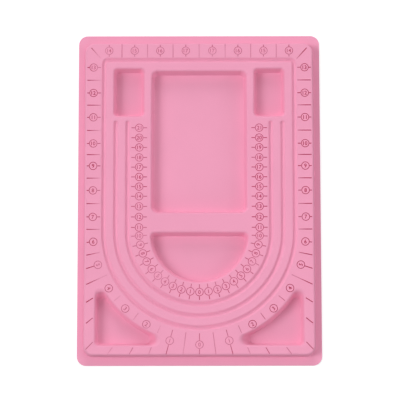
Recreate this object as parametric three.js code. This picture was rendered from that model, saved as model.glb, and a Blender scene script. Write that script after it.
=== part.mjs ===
// Bead board: one thin plastic sheet, formed into a raised table with six trays and three bead channels,
// and a flocked facing bonded to the whole upper side of the sheet.
// Millimetres, +Z up. The board lies on z = 0. The origin is the middle of its outline, +Y runs along the
// board towards the two small trays, and the channels bend round the near end.
import * as THREE from 'three';

// Overall size
const boardWidth = 240;
const boardLength = 330;
const boardHeight = 12;
const boardCornerRadius = 9;

// Layers, from the flocked face down
const pileThickness = 0.5;
const glueLine = 0.3;
const sheetThickness = 0.8;

// Flat rim that the board stands on, and the wall from the rim up to the table
const sideRimWidth = 5.8;
const endRimWidth = 8.3;
const tableCornerRadius = 7;
const tableLipUnderRadius = 0.2;
const tableFootRadius = 0.5;
const tableDraft = 6;

// Tray walls and floors
const trayLipUnderRadius = 0.4;
const trayFootRadius = 0.6;
const trayDraft = 15;
const trayCornerTaper = 0.5;
const floorClearance = 0.4;

// Bead channels: a closed outer one and open ones inside it, side by side
const channelLipUnderRadius = 0.2;
const channelBottomRadius = 1.8;
const channelSteepness = 62;
const channelPitch = 11.7;
const openChannelCount = 2;
const channelCornerRadius = 4;
const channelEndRidge = 1.7;

// Flat bands between the table's edge, the channels and the trays
const sideBandWidth = 16.8;
const farBandWidth = 15.3;
const nearBandWidth = 24.8;
const innerBandWidth = 22;
const halfMoonBandWidth = 20.8;
const barWidth = 17.5;

// Central tray and half-moon tray
const centralTrayRidge = 6.2;
const centralTrayCornerRadius = 7;
const halfMoonDrop = 1.5;
const halfMoonRise = 3;
const halfMoonCornerRadius = 6;

// Small trays beside the central tray
const smallTrayLength = 51.8;
const smallTrayOuterRidge = 4.8;
const smallTrayFarRidge = 3.6;
const smallTrayInnerRidge = 3.8;
const smallTrayCornerRadius = 5;

// Corner trays at the near end
const cornerTrayBandWidth = 13.8;
const cornerTraySideMargin = 7.2;
const cornerTrayEndMargin = 5.8;
const cornerTrayCornerRadius = 5;
const cornerTrayTipRadius = 6.9;

// Facets
const cornerSteps = 3;
const tipSteps = 4;
const bendSteps = 20;
const trayArcSteps = 9;
const endCapSteps = 4;
const lipSteps = 2;
const footSteps = 2;

// Heights of the flats on the flocked face
const wallThickness = pileThickness + glueLine + sheetThickness;
const tableTop = boardHeight;
const rimTop = wallThickness;
const floorTop = floorClearance + wallThickness;

const degrees = THREE.MathUtils.degToRad;
const quarter = Math.PI / 2;

// A drafted wall between two flats, with a rounded lip above and a rounded foot below.
class Wall {
  constructor(bottom, lipUnderRadius, footRadius, draft) {
    this.lipRadius = lipUnderRadius + wallThickness;
    this.footRadius = footRadius;
    this.slope = quarter - degrees(draft);
    this.lipCentre = tableTop - this.lipRadius;
    this.footCentre = bottom + footRadius;
    const rounded = (this.lipRadius + footRadius) * (1 - Math.cos(this.slope));
    const flank = (tableTop - bottom - rounded) / Math.tan(this.slope);
    this.run = (this.lipRadius + footRadius) * Math.sin(this.slope) + flank;
  }

  // Points from the upper flat to the lower one, at a depth under the face: distance out, height.
  profile(depth) {
    const points = [];
    const lip = this.lipRadius - depth;
    for (let step = 0; step <= lipSteps; step += 1) {
      const angle = (this.slope * step) / lipSteps;
      points.push([lip * Math.sin(angle), this.lipCentre + lip * Math.cos(angle)]);
    }
    const foot = this.footRadius + depth;
    for (let step = footSteps; step >= 0; step -= 1) {
      const angle = (this.slope * step) / footSteps;
      points.push([this.run - foot * Math.sin(angle), this.footCentre - foot * Math.cos(angle)]);
    }
    return points;
  }
}

const tableWall = new Wall(rimTop, tableLipUnderRadius, tableFootRadius, tableDraft);
const trayWall = new Wall(floorTop, trayLipUnderRadius, trayFootRadius, trayDraft);

// A channel's section is two rounded lips that run straight into one rounded bottom.
const channelSlope = degrees(channelSteepness);
const channelLipRadius = channelLipUnderRadius + wallThickness;
const channelSpan = channelLipRadius + channelBottomRadius;
const channelHalfWidth = channelSpan * Math.sin(channelSlope);

// Points from a channel's rim to its middle, at a depth under the face: distance from the middle, height.
function channelProfile(depth) {
  const points = [];
  const lip = channelLipRadius - depth;
  const lipCentre = tableTop - channelLipRadius;
  for (let step = 0; step <= lipSteps; step += 1) {
    const angle = (channelSlope * step) / lipSteps;
    points.push([channelHalfWidth - lip * Math.sin(angle), lipCentre + lip * Math.cos(angle)]);
  }
  const bottomCentre = lipCentre + channelSpan * Math.cos(channelSlope);
  points.push([0, bottomCentre - channelBottomRadius - depth]);
  return points;
}

// Places in plan, worked inwards from the outline
const tableHalfWidth = boardWidth / 2 - sideRimWidth - tableWall.run;
const tableHalfLength = boardLength / 2 - endRimWidth - tableWall.run;
const channelRadius = tableHalfWidth - sideBandWidth;
const channelFarEnd = tableHalfLength - farBandWidth;
const bendCentre = nearBandWidth + channelRadius - tableHalfLength;
const innermostRadius = channelRadius - openChannelCount * channelPitch;
const centralHalfWidth = innermostRadius - innerBandWidth;
const centralFarEnd = channelFarEnd - channelHalfWidth - centralTrayRidge;
const centralNearEnd = bendCentre + barWidth;
const halfMoonRadius = innermostRadius - halfMoonBandWidth;
const halfMoonCentre = bendCentre - halfMoonDrop;
const smallOuterSide = channelRadius - channelHalfWidth - smallTrayOuterRidge;
const smallInnerSide = centralHalfWidth + smallTrayInnerRidge;
const smallFarEnd = channelFarEnd - channelHalfWidth - smallTrayFarRidge;
const smallNearEnd = smallFarEnd - smallTrayLength;
const channelTop = smallNearEnd - channelEndRidge - channelHalfWidth;
const cornerTrayRadius = channelRadius + cornerTrayBandWidth;
const cornerTraySide = tableHalfWidth - cornerTraySideMargin;
const cornerTrayEnd = tableHalfLength - cornerTrayEndMargin;

function arc(x, y, radius, start, end, steps) {
  return new THREE.EllipseCurve(x, y, radius, radius, start, end, end < start).getPoints(steps);
}

// Outlines in plan, all counter-clockwise

function roundedRectangle(left, right, near, far, radius) {
  return [
    ...arc(right - radius, near + radius, radius, -quarter, 0, cornerSteps),
    ...arc(right - radius, far - radius, radius, 0, quarter, cornerSteps),
    ...arc(left + radius, far - radius, radius, quarter, 2 * quarter, cornerSteps),
    ...arc(left + radius, near + radius, radius, 2 * quarter, 3 * quarter, cornerSteps),
  ];
}

function boardOutline() {
  const side = boardWidth / 2;
  const end = boardLength / 2;
  return roundedRectangle(-side, side, -end, end, boardCornerRadius);
}

function tableOutline(outset) {
  const side = tableHalfWidth + outset;
  const end = tableHalfLength + outset;
  return roundedRectangle(-side, side, -end, end, tableCornerRadius + outset);
}

function centralTrayOutline(inset) {
  const side = centralHalfWidth - inset;
  const radius = centralTrayCornerRadius - trayCornerTaper * inset;
  return roundedRectangle(-side, side, centralNearEnd + inset, centralFarEnd - inset, radius);
}

function smallTrayOutline(inset, sign) {
  const sides = [sign * (smallInnerSide + inset), sign * (smallOuterSide - inset)];
  const radius = smallTrayCornerRadius - trayCornerTaper * inset;
  const near = smallNearEnd + inset;
  const far = smallFarEnd - inset;
  return roundedRectangle(Math.min(...sides), Math.max(...sides), near, far, radius);
}

// Flat at the far side, a little beyond its centre, and round at the near side.
function halfMoonOutline(inset) {
  const radius = halfMoonCornerRadius - trayCornerTaper * inset;
  const bend = halfMoonRadius - inset;
  const rise = halfMoonRise - inset - radius;
  const y = halfMoonCentre + rise;
  const x = Math.sqrt((bend - radius) ** 2 - rise ** 2);
  const tangent = Math.atan2(rise, x);
  return [
    ...arc(0, halfMoonCentre, bend, -Math.PI - tangent, tangent, 2 * trayArcSteps),
    ...arc(x, y, radius, tangent, quarter, tipSteps).slice(1),
    ...arc(-x, y, radius, quarter, Math.PI - tangent, tipSteps).slice(0, -1),
  ];
}

// A three-sided tray: two straight sides along the board's corner, and one that follows the bend.
function cornerTrayOutline(inset, sign) {
  const corner = cornerTrayCornerRadius - trayCornerTaper * inset;
  const tip = cornerTrayTipRadius - trayCornerTaper * inset;
  const side = cornerTraySide - inset;
  const end = cornerTrayEnd - inset;
  const bend = cornerTrayRadius + inset;
  const farX = side - tip;
  const farY = bendCentre - Math.sqrt((bend + tip) ** 2 - farX ** 2);
  const nearY = tip - end;
  const nearX = Math.sqrt((bend + tip) ** 2 - (nearY - bendCentre) ** 2);
  const farAngle = Math.atan2(farY - bendCentre, farX);
  const nearAngle = Math.atan2(nearY - bendCentre, nearX);
  const outline = [
    ...arc(side - corner, corner - end, corner, -quarter, 0, cornerSteps),
    ...arc(farX, farY, tip, 0, farAngle + Math.PI, tipSteps),
    ...arc(0, bendCentre, bend, farAngle, nearAngle, trayArcSteps).slice(1, -1),
    ...arc(nearX, nearY, tip, nearAngle + Math.PI, 3 * quarter, tipSteps),
  ];
  if (sign > 0) {
    return outline;
  }
  return outline.map((point) => new THREE.Vector2(-point.x, point.y)).reverse();
}

// The outer channel runs all the way round: square at the far end, round at the near end.
function closedChannelOutline(offset) {
  const side = channelRadius + offset;
  const corner = channelCornerRadius + offset;
  const far = channelFarEnd + offset - corner;
  return [
    ...arc(0, bendCentre, side, -Math.PI, 0, bendSteps),
    ...arc(side - corner, far, corner, 0, quarter, cornerSteps),
    ...arc(corner - side, far, corner, quarter, Math.PI, cornerSteps),
  ];
}

// An open channel's middle line: down one leg, round the bend and up the other leg.
function channelSide(radius) {
  const left = new THREE.Vector2(-radius, channelTop);
  const right = new THREE.Vector2(radius, channelTop);
  return [left, ...arc(0, bendCentre, radius, -Math.PI, 0, bendSteps), right];
}

function openChannelOutline(radius, offset) {
  return [
    ...channelSide(radius + offset),
    ...arc(radius, channelTop, offset, 0, Math.PI, endCapSteps).slice(1, -1),
    ...channelSide(radius - offset).reverse(),
    ...arc(-radius, channelTop, offset, 0, Math.PI, endCapSteps).slice(1, -1),
  ];
}

// A surface of rings joined by flats and bands, with its faces upwards.
class Skin {
  constructor() {
    this.points = [];
    this.faces = [];
  }

  ring(outline, height) {
    const first = this.points.length;
    outline.forEach((point) => this.points.push(new THREE.Vector3(point.x, point.y, height)));
    return outline.map((point, index) => first + index);
  }

  // Fills the plan between an edge and the holes in it.
  flat(edge, holes = []) {
    const rings = [edge, ...holes];
    const outlines = rings.map((ring) => ring.map((index) => this.flatPoint(index)));
    const corners = rings.flat();
    const triangles = THREE.ShapeUtils.triangulateShape(outlines[0], outlines.slice(1));
    triangles.forEach((triangle) => this.faces.push(triangle.map((corner) => corners[corner])));
  }

  flatPoint(index) {
    return new THREE.Vector2(this.points[index].x, this.points[index].y);
  }

  // Joins rings of equal length, given from the outermost to the innermost.
  bands(rings) {
    for (let row = 1; row < rings.length; row += 1) {
      const outer = rings[row - 1];
      const inner = rings[row];
      outer.forEach((start, index) => {
        const next = (index + 1) % outer.length;
        this.face(start, outer[next], inner[next]);
        this.face(start, inner[next], inner[index]);
      });
    }
  }

  // Adds a triangle, unless two of its corners are one point.
  face(a, b, c) {
    if (a !== b && b !== c && c !== a) {
      this.faces.push([a, b, c]);
    }
  }
}

// Adds a tray and returns its rim.
function addTray(skin, depth, outline) {
  const rings = trayWall.profile(depth).map(([inset, height]) => skin.ring(outline(inset), height));
  skin.bands(rings);
  skin.flat(rings.at(-1));
  return rings[0];
}

// Adds the channel that runs all the way round and returns its outer and inner rims.
function addClosedChannel(skin, depth) {
  const outerHalf = channelProfile(depth);
  const innerHalf = outerHalf.slice(0, -1).reverse();
  const section = [...outerHalf, ...innerHalf.map(([offset, height]) => [-offset, height])];
  const rings = section.map(([offset, height]) => skin.ring(closedChannelOutline(offset), height));
  skin.bands(rings);
  return [rings[0], rings.at(-1)];
}

// Adds an open channel, whose two flanks meet along its middle line, and returns its rim.
function addOpenChannel(skin, depth, radius) {
  const section = channelProfile(depth);
  const bottom = section.pop();
  const rings = section.map(([offset, height]) => skin.ring(openChannelOutline(radius, offset), height));
  const middle = skin.ring(channelSide(radius), bottom[1]);
  const capPoints = endCapSteps - 1;
  rings.push([
    ...middle,
    ...Array(capPoints).fill(middle.at(-1)),
    ...middle.toReversed(),
    ...Array(capPoints).fill(middle[0]),
  ]);
  skin.bands(rings);
  return rings[0];
}

// The board's face, moved down into the board by a depth. Returns the skin and its outer edge.
function boardSkin(depth) {
  const skin = new Skin();
  const edge = skin.ring(boardOutline(), rimTop - depth);
  const tableRings = tableWall.profile(depth)
    .map(([outset, height]) => skin.ring(tableOutline(outset), height))
    .reverse();
  skin.flat(edge, [tableRings[0]]);
  skin.bands(tableRings);

  const [channelRim, innerRim] = addClosedChannel(skin, depth);
  const cornerRims = [-1, 1].map(
    (sign) => addTray(skin, depth, (inset) => cornerTrayOutline(inset, sign)),
  );
  skin.flat(tableRings.at(-1), [channelRim, ...cornerRims]);

  const innerHoles = [addTray(skin, depth, centralTrayOutline), addTray(skin, depth, halfMoonOutline)];
  [-1, 1].forEach((sign) => {
    innerHoles.push(addTray(skin, depth, (inset) => smallTrayOutline(inset, sign)));
  });
  for (let channel = 1; channel <= openChannelCount; channel += 1) {
    innerHoles.push(addOpenChannel(skin, depth, channelRadius - channel * channelPitch));
  }
  skin.flat(innerRim, innerHoles);
  return { skin, edge };
}

// A closed layer of the board between two depths under its face.
function layerGeometry(upperDepth, lowerDepth) {
  const upper = boardSkin(upperDepth);
  const lower = boardSkin(lowerDepth);
  const layer = upper.skin;
  const shift = layer.points.length;
  layer.points.push(...lower.skin.points);
  lower.skin.faces.forEach(([a, b, c]) => layer.faces.push([c + shift, b + shift, a + shift]));
  layer.bands([lower.edge.map((index) => index + shift), upper.edge]);
  const geometry = new THREE.BufferGeometry().setFromPoints(layer.points);
  geometry.setIndex(layer.faces.flat());
  geometry.computeVertexNormals();
  return geometry;
}

function layerMesh(name, upperDepth, lowerDepth, material) {
  const mesh = new THREE.Mesh(layerGeometry(upperDepth, lowerDepth), material);
  mesh.name = name;
  return mesh;
}

const flock = new THREE.MeshStandardMaterial({ color: 0xf2a0be, roughness: 1, metalness: 0 });
const plastic = new THREE.MeshStandardMaterial({ color: 0xe893b1, roughness: 0.5, metalness: 0 });

const board = new THREE.Group();
board.add(layerMesh('flock_pile', 0, pileThickness, flock));
board.add(layerMesh('tray_shell', pileThickness + glueLine, wallThickness, plastic));

export default board;
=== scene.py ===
"""Looks of a flocked bead board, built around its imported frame.

The board is one formed plastic sheet with a flocked face and scales printed on the flock. Everything is in
metres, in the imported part's own frame: +X across the board, +Y along it towards the two small trays, and +Z
up out of the flocked face. The board lies on z = 0.
"""

from __future__ import annotations

import logging
import math
from dataclasses import dataclass
from enum import Enum
from functools import cached_property, partial
from typing import Callable, Iterable, NamedTuple, Sequence

import bmesh
import bpy
from mathutils import Color, Matrix, Vector, geometry, noise

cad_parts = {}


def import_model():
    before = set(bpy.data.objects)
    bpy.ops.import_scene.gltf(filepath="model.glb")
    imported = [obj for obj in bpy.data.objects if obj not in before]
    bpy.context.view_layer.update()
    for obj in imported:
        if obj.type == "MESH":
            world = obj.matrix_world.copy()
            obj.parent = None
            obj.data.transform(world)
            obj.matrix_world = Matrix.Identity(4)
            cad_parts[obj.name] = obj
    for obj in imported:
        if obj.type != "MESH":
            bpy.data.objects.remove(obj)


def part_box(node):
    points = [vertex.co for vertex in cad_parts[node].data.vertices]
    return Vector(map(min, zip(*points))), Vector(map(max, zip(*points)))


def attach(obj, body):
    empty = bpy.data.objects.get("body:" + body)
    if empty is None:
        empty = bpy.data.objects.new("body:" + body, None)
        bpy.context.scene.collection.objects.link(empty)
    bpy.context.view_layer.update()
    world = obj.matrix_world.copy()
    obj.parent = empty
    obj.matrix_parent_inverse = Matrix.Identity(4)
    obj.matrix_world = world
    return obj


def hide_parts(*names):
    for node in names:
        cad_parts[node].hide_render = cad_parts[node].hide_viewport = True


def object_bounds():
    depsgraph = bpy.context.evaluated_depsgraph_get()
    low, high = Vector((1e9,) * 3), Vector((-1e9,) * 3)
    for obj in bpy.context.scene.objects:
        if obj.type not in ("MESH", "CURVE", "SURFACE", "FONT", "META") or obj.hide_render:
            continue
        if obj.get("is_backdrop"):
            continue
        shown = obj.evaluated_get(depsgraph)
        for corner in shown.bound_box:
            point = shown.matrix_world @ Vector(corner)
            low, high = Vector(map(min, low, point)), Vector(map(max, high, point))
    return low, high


LOG = logging.getLogger("bead_board")

MM = 0.001
QUARTER = math.pi / 2
FULL = 255
BODY = "root"
PILE_NODE = "flock_pile"
SHEET_NODE = "tray_shell"

Colour = tuple[float, float, float, float]
WHITE: Colour = (1.0, 1.0, 1.0, 1.0)


class Side(Enum):
    """The board's two halves, with the sign of X in each."""

    LEFT = -1
    RIGHT = 1


class PlanPoint(NamedTuple):
    """A point of an outline in plan, with the direction out of the outlined area there."""

    x: float
    y: float
    out_x: float
    out_y: float


class Station(NamedTuple):
    """A point of a wall's section: distance across, height, and how far its normal leans from upright."""

    across: float
    height: float
    lean: float


Outline = list[PlanPoint]


def paint(red: int, green: int, blue: int) -> Colour:
    """Turns a colour given as screen values into the renderer's linear values.

    Args:
        red: Red, from 0 to 255.
        green: Green, from 0 to 255.
        blue: Blue, from 0 to 255.

    Returns:
        The linear colour, opaque.
    """
    screen = Color((red / FULL, green / FULL, blue / FULL))
    return (*screen.from_srgb_to_scene_linear(), 1.0)


def arc(
    x: float, y: float, radius: float, start: float, end: float, steps: int, hollow: bool = False
) -> Outline:
    """Makes the points of a round stretch of an outline.

    Args:
        x: Middle of the arc.
        y: Middle of the arc.
        radius: Radius of the arc.
        start: Angle of the first point, in radians.
        end: Angle of the last point, in radians.
        steps: Number of chords.
        hollow: True where the outlined area lies outside the arc's circle.

    Returns:
        The points, both ends included.
    """
    facing = -1.0 if hollow else 1.0
    points = []
    for step in range(steps + 1):
        angle = start + (end - start) * step / steps
        cos, sin = math.cos(angle), math.sin(angle)
        points.append(PlanPoint(x + radius * cos, y + radius * sin, facing * cos, facing * sin))
    return points


def on_side(outline: Outline, side: Side) -> Outline:
    """Puts an outline of the right half on one side.

    Args:
        outline: The outline, on the right.
        side: Where it goes.

    Returns:
        The outline, mirrored for the left and still counter-clockwise.
    """
    if side is Side.RIGHT:
        return outline
    return [PlanPoint(-p.x, p.y, -p.out_x, p.out_y) for p in reversed(outline)]


def holds(outline: Outline, x: float, y: float) -> bool:
    """Says whether a point lies inside an outline.

    Args:
        outline: A closed outline.
        x: The point.
        y: The point.

    Returns:
        True inside.
    """
    inside = False
    for a, b in zip(outline, outline[1:] + outline[:1]):
        if (a.y > y) != (b.y > y) and x < a.x + (b.x - a.x) * (y - a.y) / (b.y - a.y):
            inside = not inside
    return inside


def outward(side: Side, angle: float) -> float:
    """Gives the direction out of a bend.

    Args:
        side: Which half of the bend.
        angle: Angle from the bend's near end, in radians.

    Returns:
        The direction from +X towards +Y, in radians.
    """
    run = angle - QUARTER
    return run if side is Side.RIGHT else math.pi - run


def leans(slope: float, steps: int) -> list[float]:
    """Divides a lean from upright to a slope into equal steps."""
    return [slope * step / steps for step in range(steps + 1)]


def rounding(across: float, height: float, out: float, up: float, turns: Iterable[float]) -> list[Station]:
    """Gives the points of a rounded stretch of a section.

    Args:
        across: Centre of the rounding.
        height: Centre of the rounding.
        out: Its radius, less than nothing where it reaches back across.
        up: The same radius, less than nothing where it reaches down.
        turns: How far the normal leans from upright at each point, in radians.

    Returns:
        The points.
    """
    return [Station(across + out * math.sin(turn), height + up * math.cos(turn), turn) for turn in turns]


def placed(name: str, data: bpy.types.ID) -> bpy.types.Object:
    """Puts data in the scene as an object.

    Args:
        name: The object's name.
        data: Its mesh, curve, lamp or camera.

    Returns:
        The object.
    """
    thing = bpy.data.objects.new(name, data)
    bpy.context.scene.collection.objects.link(thing)
    return thing


def baked(holder: bpy.types.Object) -> bpy.types.Mesh:
    """Makes a plain mesh of what an object shows, and removes the object.

    Args:
        holder: The object.

    Returns:
        The mesh.
    """
    graph = bpy.context.evaluated_depsgraph_get()
    mesh = bpy.data.meshes.new_from_object(holder.evaluated_get(graph), depsgraph=graph)
    bpy.data.objects.remove(holder)
    return mesh


@dataclass(frozen=True)
class Fineness:
    """Numbers of chords in the visible surface."""

    corner: int = 10
    tip: int = 10
    bend: int = 96
    tray_arc: int = 36
    cap: int = 10
    lip: int = 6
    foot: int = 6
    edge: int = 4


FINE = Fineness()


def rounded_rectangle(left: float, right: float, near: float, far: float, radius: float) -> Outline:
    """Makes a rectangle with round corners, counter-clockwise.

    Args:
        left: Least X.
        right: Greatest X.
        near: Least Y.
        far: Greatest Y.
        radius: Radius of the corners.

    Returns:
        The outline.
    """
    middles = (
        (right - radius, near + radius),
        (right - radius, far - radius),
        (left + radius, far - radius),
        (left + radius, near + radius),
    )
    outline: Outline = []
    for turn, (x, y) in enumerate(middles):
        outline += arc(x, y, radius, (turn - 1) * QUARTER, turn * QUARTER, FINE.corner)
    return outline


@dataclass(frozen=True)
class Layers:
    """Depths under the flocked face where the board's layers start and end.

    Attributes:
        sheet_top: Depth of the sheet's upper side.
        wall: Thickness of the whole wall, which is the depth of the sheet's underside.
    """

    sheet_top: float
    wall: float

    @classmethod
    def from_frame(cls, pile: float = 0.5 * MM) -> Layers:
        """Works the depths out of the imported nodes' boxes.

        Args:
            pile: Thickness of the flock.

        Returns:
            The depths.
        """
        pile_low, pile_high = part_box(PILE_NODE)
        _, sheet_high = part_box(SHEET_NODE)
        return cls(pile_high.z - sheet_high.z, pile_low.z + pile)


@dataclass(frozen=True)
class Wall:
    """A drafted wall between two flats, with a rounded lip above and a rounded foot below.

    Attributes:
        top: Height of the upper flat.
        bottom: Height of the lower flat.
        lip_radius: Radius of the lip on the flocked face.
        foot_radius: Radius of the foot on the flocked face.
        draft: Angle of the flank from upright, in degrees.
    """

    top: float
    bottom: float
    lip_radius: float
    foot_radius: float
    draft: float

    @cached_property
    def slope(self) -> float:
        """How far the flank leans from level, in radians."""
        return QUARTER - math.radians(self.draft)

    @cached_property
    def run(self) -> float:
        """Distance in plan from the upper flat to the lower one."""
        radii = self.lip_radius + self.foot_radius
        flank = (self.top - self.bottom - radii * (1 - math.cos(self.slope))) / math.tan(self.slope)
        return radii * math.sin(self.slope) + flank

    def stations(self, depth: float) -> list[Station]:
        """Gives the wall's section from the upper flat to the lower one.

        Args:
            depth: Depth under the flocked face.

        Returns:
            The section's points.
        """
        lip = self.lip_radius - depth
        foot = self.foot_radius + depth
        lip_centre = self.top - self.lip_radius
        foot_centre = self.bottom + self.foot_radius
        return [
            *rounding(0.0, lip_centre, lip, lip, leans(self.slope, FINE.lip)),
            *rounding(self.run, foot_centre, -foot, -foot, reversed(leans(self.slope, FINE.foot))),
        ]


@dataclass(frozen=True)
class Channel:
    """A bead channel's section: two rounded lips that run straight into one rounded bottom.

    Attributes:
        top: Height of the flats beside the channel.
        lip_radius: Radius of the lips on the flocked face.
        bottom_radius: Radius of the bottom on the flocked face.
        steepness: How far the flanks lean from level, in degrees.
    """

    top: float
    lip_radius: float
    bottom_radius: float
    steepness: float

    @cached_property
    def slope(self) -> float:
        """The steepness in radians."""
        return math.radians(self.steepness)

    @cached_property
    def half_width(self) -> float:
        """Half the width between the two rims."""
        return (self.lip_radius + self.bottom_radius) * math.sin(self.slope)

    def stations(self, depth: float) -> list[Station]:
        """Gives half the section, from a rim to the middle.

        Args:
            depth: Depth under the flocked face.

        Returns:
            The section's points, with distances from the middle.
        """
        lip = self.lip_radius - depth
        bottom = self.bottom_radius + depth
        lip_centre = self.top - self.lip_radius
        bottom_centre = lip_centre + (self.lip_radius + self.bottom_radius) * math.cos(self.slope)
        return [
            *rounding(self.half_width, lip_centre, -lip, lip, leans(self.slope, FINE.lip)),
            *rounding(0.0, bottom_centre, bottom, -bottom, reversed(leans(self.slope, FINE.foot)[:-1])),
        ]


@dataclass(frozen=True)
class BoardPlan:
    """The board's sizes and the outlines of its table, trays and channels.

    The overall size and the layers come from the frame. An inset is a distance into an outlined area.
    """

    width: float
    length: float
    height: float
    layers: Layers
    corner_radius: float = 9 * MM
    side_rim: float = 5.8 * MM
    end_rim: float = 8.3 * MM
    table_corner_radius: float = 7 * MM
    table_lip_under: float = 0.2 * MM
    table_foot: float = 0.5 * MM
    table_draft: float = 6
    tray_lip_under: float = 0.4 * MM
    tray_foot: float = 0.6 * MM
    tray_draft: float = 15
    tray_corner_taper: float = 0.5
    floor_clearance: float = 0.4 * MM
    channel_lip_under: float = 0.2 * MM
    channel_bottom: float = 1.8 * MM
    channel_steepness: float = 62
    channel_pitch: float = 11.7 * MM
    open_channels: int = 2
    channel_corner_radius: float = 4 * MM
    channel_end_ridge: float = 1.7 * MM
    scale_band: float = 16.8 * MM
    far_band: float = 15.3 * MM
    near_band: float = 24.8 * MM
    inner_band: float = 22 * MM
    bar: float = 17.5 * MM
    central_ridge: float = 6.2 * MM
    central_corner_radius: float = 7 * MM
    half_moon_band: float = 20.8 * MM
    half_moon_drop: float = 1.5 * MM
    half_moon_rise: float = 3 * MM
    half_moon_corner_radius: float = 6 * MM
    small_length: float = 51.8 * MM
    small_outer_ridge: float = 4.8 * MM
    small_far_ridge: float = 3.6 * MM
    small_inner_ridge: float = 3.8 * MM
    small_corner_radius: float = 5 * MM
    corner_band: float = 13.8 * MM
    corner_side_margin: float = 7.2 * MM
    corner_end_margin: float = 5.8 * MM
    corner_tray_radius: float = 5 * MM
    corner_tip_radius: float = 6.9 * MM

    @classmethod
    def from_frame(cls, low: Vector, high: Vector) -> BoardPlan:
        """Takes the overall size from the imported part's box.

        Args:
            low: The box's lowest corner.
            high: The box's highest corner.

        Returns:
            The plan.
        """
        size = high - low
        return cls(size.x, size.y, size.z, Layers.from_frame())

    @cached_property
    def rim_top(self) -> float:
        """Height of the rim on the flocked face."""
        return self.layers.wall

    @cached_property
    def table_wall(self) -> Wall:
        """The wall from the table down to the rim."""
        lip = self.table_lip_under + self.layers.wall
        return Wall(self.height, self.rim_top, lip, self.table_foot, self.table_draft)

    @cached_property
    def tray_wall(self) -> Wall:
        """The wall from the table down to a tray's floor."""
        lip = self.tray_lip_under + self.layers.wall
        floor = self.floor_clearance + self.layers.wall
        return Wall(self.height, floor, lip, self.tray_foot, self.tray_draft)

    @cached_property
    def channel(self) -> Channel:
        """The section of the bead channels."""
        lip = self.channel_lip_under + self.layers.wall
        return Channel(self.height, lip, self.channel_bottom, self.channel_steepness)

    @cached_property
    def table_half_width(self) -> float:
        """Half the width of the table's flat."""
        return self.width / 2 - self.side_rim - self.table_wall.run

    @cached_property
    def table_half_length(self) -> float:
        """Half the length of the table's flat."""
        return self.length / 2 - self.end_rim - self.table_wall.run

    @cached_property
    def channel_radius(self) -> float:
        """Distance of the outer channel's legs from the middle, and the radius of its bend."""
        return self.table_half_width - self.scale_band

    @cached_property
    def channel_far_end(self) -> float:
        """Y of the outer channel's far run."""
        return self.table_half_length - self.far_band

    @cached_property
    def bend_y(self) -> float:
        """Y of the middle of the bend."""
        return self.near_band + self.channel_radius - self.table_half_length

    @cached_property
    def innermost_radius(self) -> float:
        """Radius of the innermost channel's bend."""
        return self.channel_radius - self.open_channels * self.channel_pitch

    @cached_property
    def central_half_width(self) -> float:
        """Half the width of the central tray."""
        return self.innermost_radius - self.inner_band

    @cached_property
    def small_far_end(self) -> float:
        """Y of the small trays' far side."""
        return self.channel_far_end - self.channel.half_width - self.small_far_ridge

    @cached_property
    def small_near_end(self) -> float:
        """Y of the small trays' near side."""
        return self.small_far_end - self.small_length

    @cached_property
    def channel_top(self) -> float:
        """Y where the open channels' middle lines end."""
        return self.small_near_end - self.channel_end_ridge - self.channel.half_width

    def board_outline(self, inset: float) -> Outline:
        """The board's cut edge."""
        side, end = self.width / 2 - inset, self.length / 2 - inset
        return rounded_rectangle(-side, side, -end, end, self.corner_radius - inset)

    def table_outline(self, outset: float) -> Outline:
        """The table's edge, moved outwards by a distance."""
        side, end = self.table_half_width + outset, self.table_half_length + outset
        return rounded_rectangle(-side, side, -end, end, self.table_corner_radius + outset)

    def central_outline(self, inset: float) -> Outline:
        """Gives the central tray's outline.

        Args:
            inset: Distance into the tray.

        Returns:
            The outline.
        """
        side = self.central_half_width - inset
        near = self.bend_y + self.bar + inset
        far = self.channel_far_end - self.channel.half_width - self.central_ridge - inset
        radius = self.central_corner_radius - self.tray_corner_taper * inset
        return rounded_rectangle(-side, side, near, far, radius)

    def small_outline(self, inset: float, side: Side) -> Outline:
        """Gives a small tray beside the central one.

        Args:
            inset: Distance into the tray.
            side: Which of the two.

        Returns:
            The outline.
        """
        inner = self.central_half_width + self.small_inner_ridge + inset
        outer = self.channel_radius - self.channel.half_width - self.small_outer_ridge - inset
        radius = self.small_corner_radius - self.tray_corner_taper * inset
        near, far = self.small_near_end + inset, self.small_far_end - inset
        return on_side(rounded_rectangle(inner, outer, near, far, radius), side)

    def half_moon_outline(self, inset: float) -> Outline:
        """Gives the half-moon tray: straight a little beyond its centre, and round at its near side.

        Args:
            inset: Distance into the tray.

        Returns:
            The outline.
        """
        radius = self.half_moon_corner_radius - self.tray_corner_taper * inset
        bend = self.innermost_radius - self.half_moon_band - inset
        middle = self.bend_y - self.half_moon_drop
        rise = self.half_moon_rise - inset - radius
        x, y = math.sqrt((bend - radius) ** 2 - rise**2), middle + rise
        tangent = math.atan2(rise, x)
        return [
            *arc(0, middle, bend, -math.pi - tangent, tangent, 2 * FINE.tray_arc),
            *arc(x, y, radius, tangent, QUARTER, FINE.tip)[1:],
            *arc(-x, y, radius, QUARTER, math.pi - tangent, FINE.tip)[:-1],
        ]

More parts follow.
